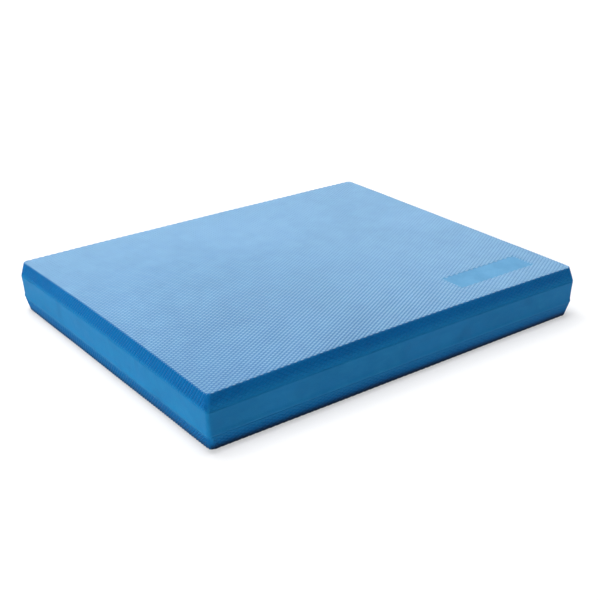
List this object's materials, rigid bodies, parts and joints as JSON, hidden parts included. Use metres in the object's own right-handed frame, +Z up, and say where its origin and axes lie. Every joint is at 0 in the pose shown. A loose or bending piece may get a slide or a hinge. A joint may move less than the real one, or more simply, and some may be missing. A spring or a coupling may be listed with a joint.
{
  "type": "balance pad",
  "caption": "Rectangular soft foam balance pad with an embossed non-slip top and underside, a smooth band round its sides and a small smooth panel near one corner.",
  "frame": {"origin": "centre of the underside, on the surface that the pad lies on", "axes": "+X along the long side, towards the end that has the smooth panel; +Y along the short side, away from the panel; +Z up, out of the standing surface"},
  "size_m": [0.508, 0.416, 0.0635],
  "materials": {
    "embossed_facing": "matt, fine diamond emboss",
    "smooth_foam": "matt, smooth cut foam with a fine closed-cell grain",
    "core_foam": "matt, cut foam"
  },
  "bodies": {
    "base": {"bottom_skin": "embossed_facing", "lower_foam_ply": "core_foam", "middle_foam_ply": "smooth_foam"},
    "deck": {"top_skin": "embossed_facing", "upper_foam_ply": "core_foam"}
  },
  "joints": [
    {"name": "foam_sink", "type": "slide", "parent": "base", "child": "deck", "axis": [0, 0, 1], "range_m": [-0.018, 0], "stiffness_N_per_m": 40000, "deforming": ["middle_foam_ply"]}
  ]
}
